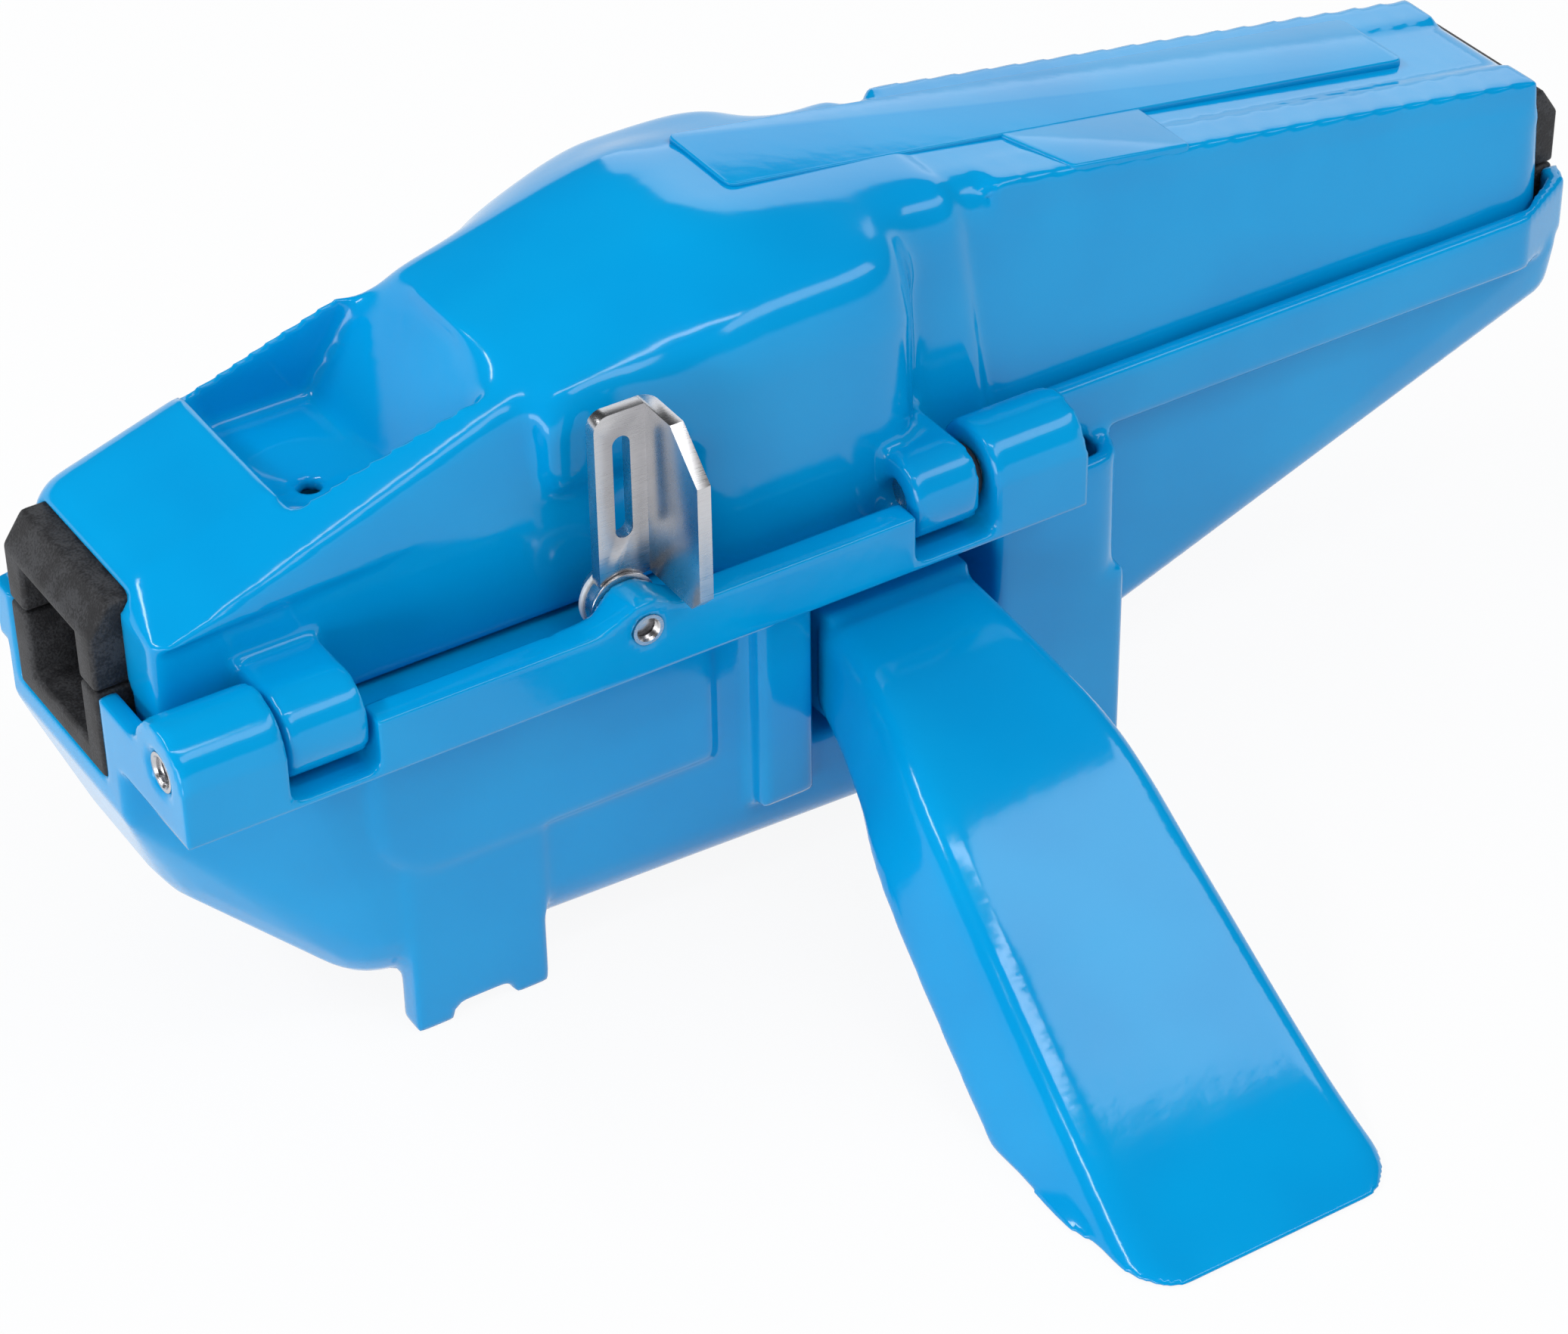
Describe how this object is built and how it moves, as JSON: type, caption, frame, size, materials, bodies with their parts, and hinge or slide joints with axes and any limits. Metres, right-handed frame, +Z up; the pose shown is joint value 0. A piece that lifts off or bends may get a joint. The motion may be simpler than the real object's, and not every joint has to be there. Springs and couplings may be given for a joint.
{
  "type": "bike chain cleaner",
  "caption": "Cast bench-grade bicycle chain scrubber with a hinged lid, swinging latch lever, pistol grip, chain guides, brush wheels and sponges.",
  "frame": {"origin": "middle of the chain's path, half way between the two guides' outer faces and at the height of the hinge axis", "axes": "+X along the chain towards the narrow rear end, -Y towards the grip and hinge side, +Z up through the lid"},
  "size_m": [0.238, 0.1585, 0.0979],
  "materials": {
    "paint_blue": "gloss",
    "steel": "satin",
    "black_nylon": "matte",
    "white_nylon": "satin",
    "bristle": "matte",
    "foam": "matte",
    "seal_rubber": "matte",
    "screw_steel": "satin",
    "magnet_steel": "satin"
  },
  "bodies": {
    "casing": {"base": "paint_blue", "handle": "paint_blue", "handle_screws": "screw_steel", "hinge_pin_front": "steel", "hinge_pin_rear": "steel", "hinge_ring": "seal_rubber", "latch_screw": "steel", "latch_steel_washer": "steel", "latch_nylon_washer": "white_nylon", "front_guide_lower": "black_nylon", "rear_guide_lower": "black_nylon", "front_lower_axle": "steel", "rear_lower_axle": "steel", "near_side_axle": "steel", "far_side_axle": "steel", "lower_sponge": "foam", "magnet": "magnet_steel"},
    "cover": {"lid": "paint_blue", "front_guide_upper": "black_nylon", "rear_guide_upper": "black_nylon", "front_upper_axle": "steel", "rear_upper_axle": "steel", "upper_sponge": "foam"},
    "lever": {"latch_lever": "steel"},
    "front_lower_wheel": {"front_lower_brush": "bristle"},
    "rear_lower_wheel": {"rear_lower_brush": "bristle"},
    "front_upper_wheel": {"front_upper_brush": "bristle"},
    "rear_upper_wheel": {"rear_upper_brush": "bristle"},
    "near_side_wheel": {"near_side_brush": "bristle"},
    "far_side_wheel": {"far_side_brush": "bristle"}
  },
  "joints": [
    {"name": "lid_hinge", "type": "hinge", "parent": "casing", "child": "cover", "pos_m": [0, -0.0304, 0], "axis": [1, 0, 0], "range_deg": [0, 30]},
    {"name": "latch_pivot", "type": "hinge", "parent": "casing", "child": "lever", "pos_m": [-0.0525, -0.0296, -0.0006], "axis": [0, -1, 0], "range_deg": [0, 90]},
    {"name": "front_lower_spin", "type": "hinge", "parent": "casing", "child": "front_lower_wheel", "pos_m": [-0.048, 0, -0.0185], "axis": [0, 1, 0], "continuous": true},
    {"name": "rear_lower_spin", "type": "hinge", "parent": "casing", "child": "rear_lower_wheel", "pos_m": [0.012, 0, -0.0185], "axis": [0, 1, 0], "continuous": true},
    {"name": "front_upper_spin", "type": "hinge", "parent": "cover", "child": "front_upper_wheel", "pos_m": [-0.048, 0, 0.015], "axis": [0, 1, 0], "continuous": true},
    {"name": "rear_upper_spin", "type": "hinge", "parent": "cover", "child": "rear_upper_wheel", "pos_m": [0.012, 0, 0.015], "axis": [0, 1, 0], "continuous": true},
    {"name": "near_side_spin", "type": "hinge", "parent": "casing", "child": "near_side_wheel", "pos_m": [-0.021, -0.0133, 0], "axis": [0, 0, 1], "continuous": true},
    {"name": "far_side_spin", "type": "hinge", "parent": "casing", "child": "far_side_wheel", "pos_m": [-0.021, 0.0133, 0], "axis": [0, 0, 1], "continuous": true}
  ],
  "couplings": [
    {"joint": "latch_pivot", "follows": "lid_hinge", "ratio": 3}
  ]
}
